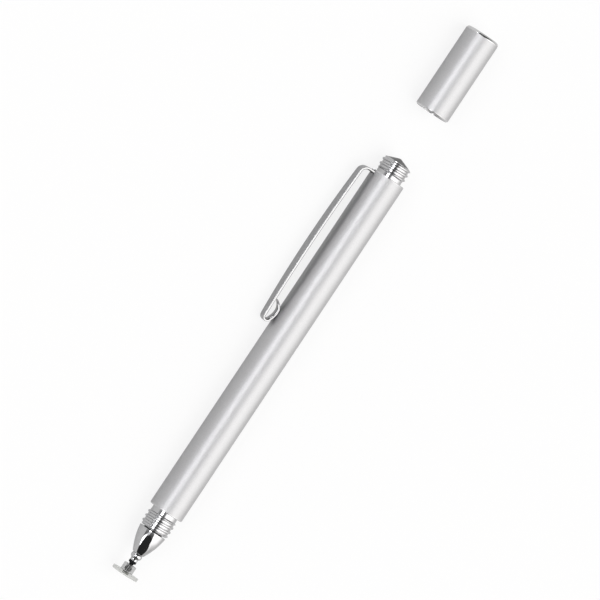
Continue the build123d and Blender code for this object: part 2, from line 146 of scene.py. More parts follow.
def plain_piece(name, shape):
    """Makes the finished piece of a bmesh: doubles merged, faces outwards, smooth but for its sharp edges."""
    bmesh.ops.remove_doubles(shape, verts=shape.verts, dist=merge_distance)
    bmesh.ops.recalc_face_normals(shape, faces=shape.faces)
    mesh = bpy.data.meshes.new(name)
    shape.to_mesh(mesh)
    shape.free()
    mesh.polygons.foreach_set("use_smooth", [True] * len(mesh.polygons))
    mesh.set_sharp_from_angle(angle=sharp_angle)
    piece = bpy.data.objects.new(name, mesh)
    bpy.context.scene.collection.objects.link(piece)
    return piece


class Signal:
    """A socket of a node tree; sums and products of signals add the Math nodes that work them out."""

    def __init__(self, tree, socket=None):
        self.tree = tree
        self.socket = socket

    def node(self, kind, settings=None, sockets=None, output=0):
        """Any other node: its settings first, such as a ramp's stops, then its sockets' values or links."""
        made = self.tree.nodes.new(kind)
        for name, value in (settings or {}).items():
            if name == "stops":
                self.set_stops(made.color_ramp.elements, value)
            else:
                setattr(made, name, value)
        for name, value in (sockets or {}).items():
            if isinstance(value, Signal):
                self.tree.links.new(value.socket, made.inputs[name])
            else:
                made.inputs[name].default_value = value
        return Signal(self.tree, made.outputs[output]) if made.outputs else None

    @staticmethod
    def set_stops(elements, stops):
        """Sets a ramp's stops, given as (place, level of grey) with the first at 0 and the last at 1."""
        for place, level in stops[1:-1]:
            elements.new(place)
        for element, (place, level) in zip(elements, stops):
            element.position = place
            element.color = (level, level, level, 1)

    def maths(self, operation, *values):
        """A Math node on the given values, in their order."""
        return self.node("ShaderNodeMath", {"operation": operation}, dict(enumerate(values)))

    def __add__(self, other):
        return self.maths("ADD", self, other)

    def __radd__(self, other):
        return self.maths("ADD", other, self)

    def __sub__(self, other):
        return self.maths("SUBTRACT", self, other)

    def __rsub__(self, other):
        return self.maths("SUBTRACT", other, self)

    def __mul__(self, other):
        return self.maths("MULTIPLY", self, other)

    def __rmul__(self, other):
        return self.maths("MULTIPLY", other, self)

    def __truediv__(self, other):
        return self.maths("DIVIDE", self, other)

    def __rtruediv__(self, other):
        return self.maths("DIVIDE", other, self)

    def least(self, other):
        """The lesser of two signals."""
        return self.maths("MINIMUM", self, other)

    def most(self, other):
        """The greater of two signals."""
        return self.maths("MAXIMUM", self, other)

    def noise(self, scale=1.0, detail=2.0, stretch=(1, 1, 1)):
        """Noise with grains of about 1 / scale metres, drawn finer along each axis by its stretch."""
        drawn = self.node("ShaderNodeVectorMath", {"operation": "MULTIPLY"}, {0: self, 1: stretch})
        return self.node("ShaderNodeTexNoise", sockets={"Vector": drawn, "Scale": scale, "Detail": detail})

    def step(self, start, end):
        """Rises smoothly from 0 at start to 1 at end."""
        limits = {"Value": self, "From Min": start, "From Max": end}
        return self.node("ShaderNodeMapRange", {"interpolation_type": "SMOOTHSTEP"}, limits)

    def mix(self, dark, light):
        """The colour that this signal picks between two colours or colour signals."""
        # A Mix node has its sockets in sets, one for each type, and 6, 7 and 2 are the colour ones
        return self.node("ShaderNodeMix", {"data_type": "RGBA"}, {0: self, 6: dark, 7: light}, output=2)

    def bump(self, depth, strength):
        """The normals of a surface that this signal raises by up to the depth."""
        return self.node("ShaderNodeBump", sockets={"Height": self, "Distance": depth, "Strength": strength})


def place_on(name):
    """A new finish, and the signal of the place on the piece that its pattern is drawn from."""
    material = bpy.data.materials.new(name)
    material.use_nodes = True
    material.node_tree.nodes.clear()
    return material, Signal(material.node_tree).node("ShaderNodeTexCoord", output="Object")


def along_pen(place):
    """The x of a place."""
    return place.node("ShaderNodeSeparateXYZ", sockets={0: place})


def finish(material, sockets):
    """Closes a finish with a surface shader of the given sockets."""
    shader = Signal(material.node_tree).node("ShaderNodeBsdfPrincipled", sockets=sockets)
    shader.node("ShaderNodeOutputMaterial", sockets={"Surface": shader})
    return material


def satin_aluminium(name, rear_rim, front_rim):
    """Blasted, anodised aluminium with faint turning marks; past its two rims it is cut bright."""
    material, place = place_on(name)
    turning = place.noise(stretch=turning_marks)
    grain = place.noise(blast_grain)
    cloud = place.noise(anodic_cloud, detail=3.0)
    x = along_pen(place)
    rim = x.step(rear_rim, rear_rim - rim_fade).most(x.step(front_rim, front_rim + rim_fade))
    shade = 0.5 + 0.34 * (turning - 0.5) + 0.9 * (grain - 0.5) + 0.22 * (cloud - 0.5)
    rough = satin_roughness + 0.10 * (grain - 0.5) + 0.08 * (turning - 0.5) + 0.05 * (cloud - 0.5)
    return finish(material, {
        "Base Color": rim.mix(shade.mix(*satin_shades), cut_shade),
        "Roughness": rough - cut_polish * rim,
        "Metallic": 1.0,
        "Normal": (turning + grain).bump(depth=0.004 * mm, strength=0.5),
    })


barrel = plain_piece("barrel_tube", turned(rounded([
    (barrel_front, barrel_bore, fine_edge),
    (barrel_front, barrel_radius - barrel_bevel, fine_edge),
    (barrel_front - barrel_bevel, barrel_radius, fine_edge),
    (barrel_rear + barrel_bevel, barrel_radius, fine_edge),
    (barrel_rear, barrel_radius - barrel_bevel, fine_edge),
    (barrel_rear, barrel_bore, fine_edge),
], closed=True), closed=True))

saw = bmesh.new()
bmesh.ops.create_cube(saw, size=1)
saw.transform(Matrix((
    (notch_length, 0, 0, notch_front - notch_length / 2),
    (0, barrel_radius * clip_out.y, notch_width * clip_side.y, barrel_radius * clip_out.y),
    (0, barrel_radius * clip_out.z, notch_width * clip_side.z, barrel_radius * clip_out.z),
    (0, 0, 0, 1),
)))
saw_block = plain_piece("notch_saw", saw)
cut = barrel.modifiers.new("notch", "BOOLEAN")
cut.operation = "DIFFERENCE"
cut.object = saw_block
notched = bpy.data.meshes.new_from_object(barrel.evaluated_get(bpy.context.evaluated_depsgraph_get()))
barrel.modifiers.remove(cut)
barrel.data = notched
bpy.data.objects.remove(saw_block)
barrel.data.set_sharp_from_angle(angle=sharp_angle)
barrel.data.materials.clear()
barrel.data.materials.append(satin_aluminium(
    "satin_barrel", barrel_rear + barrel_bevel + rim_fade, barrel_front - barrel_bevel - rim_fade
))
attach(barrel, "pen")
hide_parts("barrel")

# Bushes: two brass sleeves pressed into the ends of the barrel, turned from rod and left unpolished.
# They are out of sight in the finished pen, and the solids are kept as they are.
brass_shades = (0.52, 0.35, 0.13, 1), (0.75, 0.56, 0.25, 1)
brass, brass_place = place_on("turned_brass")
brass_marks = brass_place.noise(stretch=(9000, 60, 60))
brass_tarnish = brass_place.noise(900, detail=3.0)
finish(brass, {
    "Base Color": brass_tarnish.mix(*brass_shades),
    "Roughness": 0.22 + 0.2 * brass_marks,
    "Metallic": 1.0,
    "Normal": brass_marks.bump(depth=0.004 * mm, strength=0.6),
})


def refinish(node, material):
    """Gives a kept solid its finish."""
    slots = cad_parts[node].data.materials
    slots.clear()
    slots.append(material)


for bush in ("front_bush", "rear_bush"):
    refinish(bush, brass)

# Front collar: turned and chrome plated, with the cap's screw thread on it and a plain neck behind.
# Its tail screws into the front bush, and the nose plugs into its open front.
collar_low, collar_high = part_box("front_collar")
thread_pitch = 1.25 * mm
thread_crest_width = 0.2 * mm
thread_root_width = 0.35 * mm
thread_depth = 0.35 * mm
thread_rows = 25
thread_segments = 160
thread_merge = 0.001 * mm
crest_radius = collar_high.z
root_radius = crest_radius - thread_depth
neck_radius = 3.41 * mm
collar_thread_end = collar_high.x - 4.2 * mm
collar_shoulder = barrel_front - 0.6 * mm
collar_tail_radius = 2.9 * mm
collar_core_radius = 1.5 * mm
collar_mouth_radius = 2.53 * mm
collar_mouth_end = collar_high.x - 4.8 * mm
tail_edge = 0.2 * mm
chrome_shades = (0.55, 0.64)
chrome_blue = 1.01
chrome_cloud = 700
lathe_marks = (5000, 300, 300)
# The darkest grey of the dull stretches; behind the nose's base it is painted shade in the parting gap
dull_and_shade_dark = 0.02
dull_and_shade_roughness = 0.26


def thread_tree():
    """A node tree that winds a screw thread between the two open rims of a turned blank."""
    tree = bpy.data.node_groups.new("screw_thread", "GeometryNodeTree")
    tree.interface.new_socket("Blank", in_out="INPUT", socket_type="NodeSocketGeometry")
    for name in ("Back End", "Length", "Pitch", "Wall Radius", "Depth", "Crest Width", "Root Width", "Phase"):
        tree.interface.new_socket(name, in_out="INPUT", socket_type="NodeSocketFloat")
    for name in ("Rows", "Segments"):
        tree.interface.new_socket(name, in_out="INPUT", socket_type="NodeSocketInt")
    tree.interface.new_socket("Plating", in_out="INPUT", socket_type="NodeSocketMaterial")
    tree.interface.new_socket("Piece", in_out="OUTPUT", socket_type="NodeSocketGeometry")
    entry = tree.nodes.new("NodeGroupInput")
    given = {socket.name: Signal(tree, socket) for socket in entry.outputs if socket.name}
    pitch, length, depth, rows = given["Pitch"], given["Length"], given["Depth"], given["Rows"]
    counts = {"Size X": 1.0, "Size Y": 1.0, "Vertices X": rows, "Vertices Y": given["Segments"] + 1}
    grid = rows.node("GeometryNodeMeshGrid", sockets=counts)
    on_grid = grid.node("GeometryNodeInputPosition")
    across = on_grid.node("ShaderNodeSeparateXYZ", sockets={0: on_grid}, output=0) + 0.5
    around = on_grid.node("ShaderNodeSeparateXYZ", sockets={0: on_grid}, output=1) + 0.5
    # A row follows the helix: it starts up to a pitch before the stretch and leads by a pitch in each turn
    run = across * (rows - 1) / thread_rows * pitch - pitch
    from_crest = run.maths("PINGPONG", run + given["Phase"], pitch / 2)
    flank = (pitch - given["Crest Width"] - given["Root Width"]) / 2
    rise = ((pitch - given["Root Width"]) / 2 - from_crest) / flank
    x = (run + around * pitch).most(0.0).least(length)
    from_end = x.least(length - x) / depth.maths("ABSOLUTE", depth)
    radius = given["Wall Radius"] + depth * rise.step(0.0, 1.0).least(from_end)
    angle = around * tau
    y, z = radius * angle.maths("COSINE", angle), radius * angle.maths("SINE", angle)
    point = x.node("ShaderNodeCombineXYZ", sockets={0: given["Back End"] + x, 1: y, 2: z})
    band = grid.node("GeometryNodeSetPosition", sockets={"Geometry": grid, "Position": point})
    both = band.node("GeometryNodeJoinGeometry")
    for stretch in (band, given["Blank"]):
        tree.links.new(stretch.socket, both.socket.node.inputs[0])
    joined = both.node("GeometryNodeMergeByDistance", sockets={"Geometry": both, "Distance": thread_merge})
    real = joined.node("GeometryNodeRealizeInstances", sockets={"Geometry": joined})
    plated = real.node("GeometryNodeSetMaterial", sockets={"Geometry": real, "Material": given["Plating"]})
    plated.node("NodeGroupOutput", sockets={"Piece": plated})
    return tree


def threaded(name, blank, sizes):
    """A turned blank with the thread wound on it, as a plain piece."""
    work = plain_piece(name + "_blank", blank)
    winding = work.modifiers.new("thread", "NODES")
    winding.node_group = bpy.data.node_groups.get("screw_thread") or thread_tree()
    for socket in winding.node_group.interface.items_tree:
        if socket.in_out == "INPUT" and socket.name in sizes:
            winding[socket.identifier] = sizes[socket.name]
    made = bpy.data.meshes.new_from_object(work.evaluated_get(bpy.context.evaluated_depsgraph_get()))
    shape = bmesh.new()
    shape.from_mesh(made)
    piece = plain_piece(name, shape)
    for material in made.materials:
        piece.data.materials.append(material)
    bpy.data.objects.remove(work)
    bpy.data.meshes.remove(made)
    return piece


def thread_sizes(
    back, front, phase, plating, wall_radius=root_radius, depth=thread_depth,
    crest_width=thread_crest_width, root_width=thread_root_width,
):
    """The thread tree's inputs for a thread from back to front; the phase shifts its crests along the pen,
    and a depth below 0 cuts a thread inside a bore."""
    turns = ceil((front - back) / thread_pitch) + 1
    return {
        "Back End": back, "Length": front - back, "Pitch": thread_pitch, "Wall Radius": wall_radius,
        "Depth": depth, "Crest Width": crest_width, "Root Width": root_width, "Phase": phase,
        "Rows": turns * thread_rows + 1, "Segments": thread_segments, "Plating": plating,
    }


def grey(level):
    """A metal's grey of the given level, with a breath of blue."""
    return (level, level, chrome_blue * level, 1)


def bright_chrome(name, shades=chrome_shades, marks_run=lathe_marks, dull_and_shade=None):
    """Chrome plating between two greys with faint marks, close together across the way they run. The last
    argument names where the chrome fades into a darker, rougher grey, and that grey: the plating thinned to
    the metal on the plug's cone, and a painted shade for the parting gap behind the nose's base."""
    material, place = place_on(name)
    cloud = place.noise(chrome_cloud, detail=3.0)
    marks = place.noise(stretch=marks_run)
    color = cloud.mix(grey(shades[0]), grey(shades[1]))
    rough = 0.045 + 0.03 * cloud + 0.03 * marks
    if dull_and_shade:
        fade_start, fade_end, dull_and_shade_grey = dull_and_shade
        dull_and_shade_mask = along_pen(place).step(fade_start, fade_end)
        color = dull_and_shade_mask.mix(color, marks.mix(grey(dull_and_shade_dark), grey(dull_and_shade_grey)))
        rough = rough + dull_and_shade_roughness * dull_and_shade_mask
    return finish(material, {
        "Base Color": color,
        "Roughness": rough,
        "Metallic": 1.0,
        "Normal": (marks + cloud).bump(depth=0.002 * mm, strength=0.25),
    })


chrome = bright_chrome("bright_chrome")
collar_blank = turned(rounded([
    (collar_thread_end, root_radius, 0),
    (collar_thread_end, neck_radius, 0),
    (collar_shoulder, neck_radius, fine_edge),
    (collar_shoulder, collar_tail_radius, fine_edge),
    (collar_low.x, collar_tail_radius, tail_edge),
    (collar_low.x, collar_core_radius, fine_edge),
    (collar_mouth_end, collar_core_radius, fine_edge),
    (collar_mouth_end, collar_mouth_radius, fine_edge),
    (collar_high.x, collar_mouth_radius, fine_edge),
    (collar_high.x, root_radius, 0),
]), segments=thread_segments)
collar_thread = thread_sizes(collar_thread_end, collar_high.x, 0.0, chrome)
collar = threaded("threaded_collar", collar_blank, collar_thread)
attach(collar, "pen")
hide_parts("front_collar")

# Nose: a bullet-shaped shell turned from brass and chrome plated, plugged into the collar.
# It is bored for the tip holder's shank, with a groove inside for the ring that grips it.
nose_low, nose_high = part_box("nose_cone")
nose_end, nose_end_radius = nose_high.x, 1.57 * mm
parting_gap = 0.3 * mm
nose_base = collar_high.x + parting_gap
nose_base_radius = nose_high.z
nose_middle_radius = 2.9 * mm
nose_lip = 0.08 * mm
small_edge = 0.04 * mm
nose_base_edge = 0.12 * mm
spigot_radius = 2.5 * mm
spigot_fade = 0.03 * mm
# Near black: a painted shade on the spigot, seen deep in the parting gap
parting_gap_painted_shade = 0.06
nose_bore_radius = 1.03 * mm
nose_bore_end = nose_end - 4.4 * mm
grip_low, grip_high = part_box("grip_ring")
groove_play = 0.05 * mm
groove_back, groove_front = grip_low.x - groove_play, grip_high.x + groove_play
groove_radius = grip_high.z + groove_play


def arc_through(first, middle, last, steps=24):
    """Points of the arc from first to last through middle, as plain outline points."""
    a, b, c = Vector(first), Vector(middle), Vector(last)
    ab, ac = b - a, c - a
    cross = 2 * (ab.x * ac.y - ab.y * ac.x)
    center = a + Vector((
        (ac.y * ab.length_squared - ab.y * ac.length_squared) / cross,
        (ab.x * ac.length_squared - ac.x * ab.length_squared) / cross,
    ))
    radius = (a - center).length
    return [(*(center + radius * (a - center).slerp(c - center, k / steps)), 0) for k in range(steps + 1)]


nose_outline = [(nose_end, nose_bore_radius, small_edge), (nose_end, nose_end_radius - nose_lip, small_edge)]
nose_outline += arc_through(
    (nose_end - nose_lip, nose_end_radius),
    ((nose_end + nose_base) / 2, nose_middle_radius),
    (nose_base + nose_base_edge, nose_base_radius),
    steps=40,
)
nose_outline += [
    (nose_base, nose_base_radius, nose_base_edge),
    (nose_base, spigot_radius, fine_edge),
    (nose_low.x, spigot_radius, tail_edge),
    (nose_low.x, 0, 0),
    (nose_bore_end, 0, 0),
    (nose_bore_end, nose_bore_radius, 0),
    (groove_back, nose_bore_radius, 0),
    (groove_back, groove_radius, 0),
    (groove_front, groove_radius, 0),
    (groove_front, nose_bore_radius, 0),
]
nose = plain_piece("bullet_nose", turned(rounded(nose_outline, closed=True), closed=True))
# The spigot behind the nose's base is painted near black, a painted shade for the parting gap
nose_chrome = bright_chrome("nose_chrome", dull_and_shade=(nose_base, nose_base - spigot_fade, parting_gap_painted_shade))
nose.data.materials.append(nose_chrome)
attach(nose, "pen")
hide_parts("nose_cone")

# Grip ring: a moulded ring of black rubber in the nose's groove, which grips the tip holder's shank.
# It is out of sight in the finished pen, and the solid is kept as it is.
rubber_shades = (0.012, 0.012, 0.012, 1), (0.03, 0.03, 0.03, 1)
rubber, rubber_place = place_on("black_rubber")
rubber_grain = rubber_place.noise(4000, detail=3.0)
finish(rubber, {
    "Base Color": rubber_grain.mix(*rubber_shades),
    "Roughness": 0.62 + 0.2 * rubber_grain,
    "Normal": rubber_grain.bump(depth=0.01 * mm, strength=0.6),
})
refinish("grip_ring", rubber)

# Tip holder: a small turned and plated ferrule that pushes into the nose up to its bead.
# Its stem flares out to the bead, and the ball stud is pressed into its end.
holder_low, holder_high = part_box("tip_holder")
holder_play = 0.02 * mm
holder_end_radius = 0.92 * mm
holder_stem_end = holder_high.x - 0.6 * mm
holder_stem_radius = 1.01 * mm
flare_step = 0.05 * mm
flare_rise = 0.02 * mm
bead_radius = holder_high.z
bead_top = nose_end + 0.55 * mm
bead_back = nose_end + holder_play
bead_back_radius = 1.2 * mm
holder_shank_radius = 1.0 * mm
shank_edge = 0.1 * mm
groove_floor = 0.8 * mm
stud_bore_radius = 0.57 * mm
stud_bore_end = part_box("ball_stud")[0].x - holder_play
holder_outline = [
    (holder_high.x, stud_bore_radius, 0),
    (holder_high.x, holder_end_radius, small_edge),
    (holder_stem_end, holder_stem_radius, 0),
]
holder_outline += arc_through(
    (holder_stem_end - flare_step, holder_stem_radius + flare_rise),
    (bead_top, bead_radius),
    (bead_back, bead_back_radius),
    steps=16,
)
holder_outline += [
    (bead_back, holder_shank_radius, 0),
    (groove_front, holder_shank_radius, 0),
    (groove_front, groove_floor, 0),
    (groove_back, groove_floor, 0),
    (groove_back, holder_shank_radius, 0),
    (holder_low.x, holder_shank_radius, shank_edge),
    (holder_low.x, 0, 0),
    (stud_bore_end, 0, 0),
    (stud_bore_end, stud_bore_radius, 0),
]
holder = plain_piece("tip_ferrule", turned(rounded(holder_outline, closed=True), closed=True, segments=96))
holder.data.materials.append(chrome)
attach(holder, "pen")
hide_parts("tip_holder")

# Ball stud: one turned steel pin, blackened, with the ball at its front, a waist, a flange that seats
# on the ferrule's end, and a shank pressed into it.
stud_low, stud_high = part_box("ball_stud")
ball_radius = 0.65 * mm
ball_center = stud_high.x - ball_radius
ball_play = 0.03 * mm
socket_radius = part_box("socket_liner")[1].z + ball_play
stud_neck_radius = 0.36 * mm
stud_neck_start = ball_center - sqrt(ball_radius**2 - stud_neck_radius**2)
stud_neck_end = ball_center - sqrt(socket_radius**2 - stud_neck_radius**2)
stud_neck_blend = 0.1 * mm
hub_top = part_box("disc_hub")[0].x
waist_radius = 0.6 * mm
waist_front = hub_top - 0.25 * mm
waist_edge = 0.03 * mm
cone_front = waist_front - 0.12 * mm
flange_front = cone_front - 0.16 * mm
flange_radius = stud_high.z
seat_gap = 0.01 * mm
flange_back = holder_high.x + seat_gap
stud_shank_radius = 0.55 * mm
black_shades = (0.006, 0.006, 0.007, 1), (0.018, 0.018, 0.019, 1)
stud_outline = arc_through((stud_high.x, 0), (ball_center, ball_radius), (stud_neck_start, stud_neck_radius))
stud_outline += [
    (stud_neck_end, stud_neck_radius, stud_neck_blend),
    (waist_front, waist_radius, waist_edge),
    (cone_front, waist_radius, waist_edge),
    (flange_front, flange_radius, fine_edge),
    (flange_back, flange_radius, fine_edge),
    (flange_back, stud_shank_radius, 0),
    (stud_low.x, stud_shank_radius, shank_edge),
    (stud_low.x, 0, 0),
]
stud = plain_piece("ball_pin", turned(rounded(stud_outline), segments=80))
blackened, blackened_place = place_on("blackened_steel")
blackened_grain = blackened_place.noise(6000, detail=3.0)
finish(blackened, {
    "Base Color": blackened_grain.mix(*black_shades),
    "Roughness": 0.38 + 0.16 * blackened_grain,
    "Specular IOR Level": 0.08,
    "Normal": blackened_grain.bump(depth=0.003 * mm, strength=0.5),
})
stud.data.materials.append(blackened)
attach(stud, "pen")
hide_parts("ball_stud")

# Socket liner: a dark moulded ring with a ball seat inside and a round outside, snapped over the ball.
# It shows as the dark block inside the clear hub.
liner_low, liner_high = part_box("socket_liner")
liner_radius = liner_high.z
liner_seat = ball_radius + ball_play
liner_half = (liner_high.x - liner_low.x) / 2
liner_rim_outer = sqrt(liner_radius**2 - liner_half**2)
liner_rim_inner = sqrt(liner_seat**2 - liner_half**2)
dark_shades = (0.03, 0.031, 0.034, 1), (0.07, 0.072, 0.077, 1)
liner_outline = arc_through(
    (liner_low.x, liner_rim_outer), (ball_center, liner_radius), (liner_high.x, liner_rim_outer), steps=16
)
liner_outline += arc_through(
    (liner_high.x, liner_rim_inner), (ball_center, liner_seat), (liner_low.x, liner_rim_inner), steps=16
)
liner = plain_piece("ball_liner", turned(rounded(liner_outline), closed=True, segments=80))
dark_plastic, dark_place = place_on("dark_plastic")
dark_grain = dark_place.noise(5000, detail=3.0)
finish(dark_plastic, {
    "Base Color": dark_grain.mix(*dark_shades),
    "Roughness": 0.42 + 0.2 * dark_grain,
    "Normal": dark_grain.bump(depth=0.004 * mm, strength=0.5),
})
liner.data.materials.append(dark_plastic)
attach(liner, "swivel")
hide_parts("socket_liner")

# Hub: a clear moulded post, glued on the disc. The ball's socket is moulded in it, with a mouth that flares
# out to leave the stud room for the tilt.
hub_low, hub_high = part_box("disc_hub")
hub_radius = hub_high.z
hub_edge = 0.2 * mm
hub_foot_edge = 0.03 * mm
glue_line = 0.015 * mm
hub_foot = hub_high.x - glue_line
socket_floor = sqrt(socket_radius**2 - (hub_foot - ball_center) ** 2)
tilt_room = radians(25.2)
mouth_angle = asin(stud_neck_radius / socket_radius) + tilt_room
mouth_start = (ball_center - socket_radius * cos(mouth_angle), socket_radius * sin(mouth_angle))
mouth_rim = (ball_center - hub_top) * tan(mouth_angle)
hub_shades = (0.16, 0.16, 0.16, 1), (0.24, 0.24, 0.235, 1)
clear_haze = 0.36
hub_outline = arc_through((hub_foot, socket_floor), (ball_center, socket_radius), mouth_start)
hub_outline += [
    (hub_low.x, mouth_rim, small_edge),
    (hub_low.x, hub_radius, hub_edge),
    (hub_foot, hub_radius, hub_foot_edge),
]
hub = plain_piece("clear_hub", turned(rounded(hub_outline, closed=True), closed=True, segments=120))


def clear_plastic(name, shades):
    """Clear moulded plastic with a faint haze between two shades, which partly hides what lies behind."""
    material, place = place_on(name)
    haze = place.noise(600)
    return finish(material, {
        "Base Color": haze.mix(*shades),
        "Roughness": 0.12 + 0.08 * haze,
        "IOR": 1.49,
        "Alpha": clear_haze + 0.12 * (haze - 0.5),
        "Normal": haze.bump(depth=0.003 * mm, strength=0.4),
    })


hub.data.materials.append(clear_plastic("clear_hub_plastic", hub_shades))
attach(hub, "disc")
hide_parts("disc_hub")

# Contact: a small moulded button of dark conductive plastic, let into the disc's upper face under the ball.
# It is glued in, and carries the touch from the ball to the disc.
contact_low, contact_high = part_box("contact_pad")
contact_radius = contact_high.z
contact_top = contact_low.x + glue_line
contact = plain_piece("contact_button", turned(rounded([
    (contact_top, 0, 0),
    (contact_top, contact_radius, fine_edge),
    (contact_high.x, contact_radius, fine_edge),
    (contact_high.x, 0, 0),
]), segments=80))
contact.data.materials.append(dark_plastic)
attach(contact, "disc")
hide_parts("contact_pad")

# Touch disc: a thin clear disc that lies flat on the screen, moulded with a rounded edge.
# It carries the hub on its upper face, with a recess there for the contact.
disc_low, disc_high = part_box("touch_disc")
disc_radius = disc_high.z
disc_edge = 0.15 * mm
recess_play = 0.02 * mm
recess_radius = contact_radius + recess_play
recess_floor = contact_high.x + recess_play
recess_edge = 0.02 * mm
disc_shades = (0.33, 0.34, 0.31, 1), (0.43, 0.44, 0.4, 1)
disc = plain_piece("clear_disc", turned(rounded([
    (disc_high.x, 0, 0),
    (disc_high.x, disc_radius, disc_edge),
    (disc_low.x, disc_radius, disc_edge),
    (disc_low.x, recess_radius, recess_edge),
    (recess_floor, recess_radius, 0),
    (recess_floor, 0, 0),
])))
disc.data.materials.append(clear_plastic("clear_disc_plastic", disc_shades))
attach(disc, "disc")
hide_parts("touch_disc")

# Clip: one strip of spring steel, stamped, bent and chrome plated. Its root is a ring clamped inside the
# barrel. The strip comes out through the notch, bends over and bows outwards, and its end is folded back
# under it as a foot that presses on the barrel.
clip_arm_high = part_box("clip_arm")[1]
strip_thickness = clip_ring_high.x - clip_ring_low.x
strip_middle = (clip_ring_low.x + clip_arm_high.x) / 2
strip_end_height = 7.57 * mm
strip_end_width = 2.8 * mm
strip_outer_edge = 0.12 * mm
strip_inner_edge = 0.32 * mm
bend_radius = 1.9 * mm
fold_width = 2.3 * mm
fold_taper = 1.6 * mm
fold_tip = clip_arm_high.x - strip_thickness / 2
fold_start = fold_tip - 0.825 * mm
fold_tip_height = strip_end_height - 1.15 * mm
fold_under = clip_arm_high.x - 1.25 * mm
fold_under_height = strip_end_height - 2.2 * mm
foot_middle = clip_arm_high.x - 3.4 * mm
foot_gap = 0.05 * mm
foot_width = 2.0 * mm
foot_end = clip_arm_high.x - 5.9 * mm
foot_end_gap = 0.12 * mm
foot_end_width = 0.9 * mm
foot_end_thinning = 0.62
ring_inner_radius = 2.7 * mm
ring_outer_radius = clip_ring_high.z
# The clip's chrome has darker greys than the other chrome: a painted shade, as the same plating looks darker
# on the clip
clip_painted_shade_greys = (0.41, 0.5)
polishing_marks = (120, 4000, 4000)


def eased(stops, steps, pull_share=0.38):
    """Points of a smooth curve through (point, direction) stops."""
    points = []
    for (a, leave), (b, arrive) in zip(stops, stops[1:]):
        pull = pull_share * (b - a).length
        first, second = a + leave.normalized() * pull, b - arrive.normalized() * pull
        for k in range(steps):
            t = k / steps
            u = 1 - t
            points.append(a * u**3 + first * (3 * t * u**2) + second * (3 * t**2 * u) + b * t**3)
    return points + [stops[-1][0]]


def strip_line():
    """The middle of the strip's thickness as (x, height over the axis), from the ring to the folded end."""
    root_steps, bend_steps = 12, 16
    half = strip_thickness / 2
    root_x = clip_ring_low.x + half
    turn_radius = bend_radius - half
    turn_height = strip_end_height - bend_radius
    root_height = turn_height - ring_inner_radius
    bend_x = root_x + turn_radius
    end_height = strip_end_height - half
    line = [Vector((root_x, ring_inner_radius + root_height * k / root_steps)) for k in range(1, root_steps)]
    for k in range(bend_steps):
        turn = pi / 2 * k / bend_steps
        line.append(Vector((root_x + turn_radius * (1 - cos(turn)), turn_height + turn_radius * sin(turn))))
    bow_top = ((bend_x + fold_start) / 2, clip_crown - half)
    bow = arc_through((bend_x, end_height), bow_top, (fold_start, end_height), steps=140)
    line += [Vector(point[:2]) for point in bow[:-1]]
    # The end is folded back under the strip, down to the barrel and up again to its free edge
    line += eased((
        (Vector((fold_start, end_height)), Vector((1, -0.04))),
        (Vector((fold_tip, fold_tip_height)), Vector((0, -1))),
        (Vector((fold_under, fold_under_height)), Vector((-1, -0.42))),
        (Vector((foot_middle, barrel_radius + foot_gap + half)), Vector((-1, 0))),
        (Vector((foot_end, end_height - strip_thickness - foot_end_gap)), Vector((-0.62, 0.78))),
    ), steps=14)
    return line


def past_foot(x):
    """How far a place on the foot is from its middle to its free edge, from 0 to 1."""
    return max(0.0, foot_middle - x) / (foot_middle - foot_end)


def strip_half_width(x, is_foot):
    """Half the strip's width: full in its middle, drawn in to the root, the fold and the foot's free edge."""
    if is_foot and x > foot_middle:
        share = (fold_tip - x) / (fold_tip - foot_middle)
        return (fold_width + (foot_width - fold_width) * share) / 2
    if is_foot:
        return (foot_width + (foot_end_width - foot_width) * past_foot(x) ** 2) / 2
    if x < strip_middle:
        share = (strip_middle - x) / (strip_middle - clip_ring_low.x)
        return (clip_width - (clip_width - clip_root_width) * share**2) / 2
    share = (x - strip_middle) / (fold_tip - strip_middle)
    half = (clip_width - (clip_width - strip_end_width) * share**2) / 2
    return half - (strip_end_width - fold_width) / 2 * max(0.0, 1 - (fold_tip - x) / fold_taper) ** 2


def add_shape(shape, other):
    """Adds one bmesh to another."""
    mesh = bpy.data.meshes.new("added")
    other.to_mesh(mesh)
    other.free()
    shape.from_mesh(mesh)
    bpy.data.meshes.remove(mesh)


strip = bmesh.new()
line = strip_line()
tip_index = max(range(len(line)), key=lambda i: line[i].x)
sections = []
for i, middle in enumerate(line):
    is_foot = i > tip_index
    ahead = (line[min(i + 1, len(line) - 1)] - line[max(i - 1, 0)]).normalized()
    outward = Vector((-ahead.y, 0, 0)) + clip_out * ahead.x
    origin = Vector((middle.x, 0, 0)) + clip_out * middle.y
    thin = 1 - foot_end_thinning * past_foot(middle.x) ** 2 if is_foot else 1
    half_width, half = strip_half_width(middle.x, is_foot), strip_thickness / 2 * thin
    section = rounded([
        (half_width, half, strip_outer_edge * thin),
        (-half_width, half, strip_outer_edge * thin),
        (-half_width, -half, strip_inner_edge * thin),
        (half_width, -half, strip_inner_edge * thin),
    ], closed=True, steps=4)
    sections.append([strip.verts.new(origin + clip_side * w + outward * t) for w, t in section])
for near, far in zip(sections, sections[1:]):
    for k in range(len(near)):
        n = (k + 1) % len(near)
        strip.faces.new((near[k], near[n], far[n], far[k]))
strip.faces.new(sections[0])
strip.faces.new(reversed(sections[-1]))
add_shape(strip, turned(rounded([
    (clip_ring_low.x, ring_inner_radius, fine_edge),
    (clip_ring_low.x, ring_outer_radius, fine_edge),
    (clip_ring_high.x, ring_outer_radius, fine_edge),
    (clip_ring_high.x, ring_inner_radius, fine_edge),
], closed=True), closed=True, segments=96))
clip = plain_piece("spring_clip", strip)
# The clip's chrome is a darker copy of the other chrome, painted shade
clip.data.materials.append(bright_chrome("clip_shaded_chrome", clip_painted_shade_greys, polishing_marks))
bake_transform(clip)
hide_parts("clip_ring", "clip_arm")

